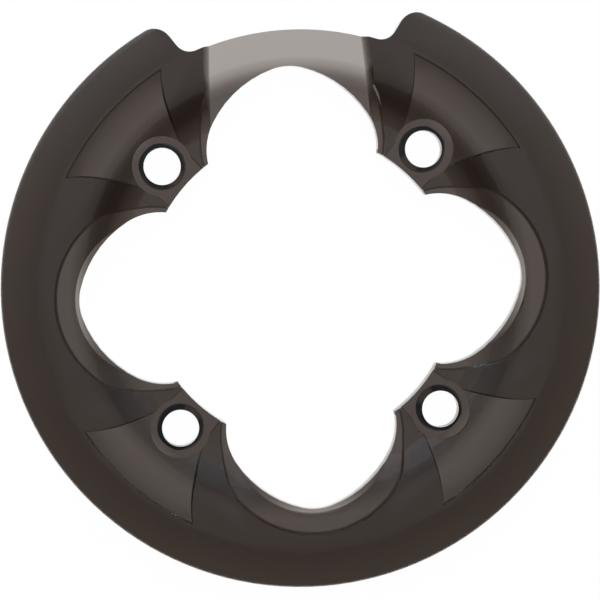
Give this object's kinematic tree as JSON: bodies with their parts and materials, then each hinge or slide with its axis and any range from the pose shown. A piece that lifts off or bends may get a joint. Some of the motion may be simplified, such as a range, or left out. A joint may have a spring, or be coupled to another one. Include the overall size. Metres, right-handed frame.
{
  "type": "chainring guard",
  "caption": "Smoked clear plastic ring that bolts over a bicycle crank spider to shield the chain, with a lobed centre, dished hub and a cutaway for the crank arm.",
  "frame": {"origin": "centre of the bolt circle, on the front face of the bolt pads, where the bolt heads seat", "axes": "+Z along the crank axis, pointing outboard to the front face; +Y towards the crank arm cutaway; +X to the right seen from outboard"},
  "size_m": [0.168, 0.1588, 0.0107],
  "materials": {
    "smoke_plastic": "gloss, see-through smoke brown"
  },
  "bodies": {
    "root": {"chainring_guard": "smoke_plastic"}
  },
  "joints": []
}
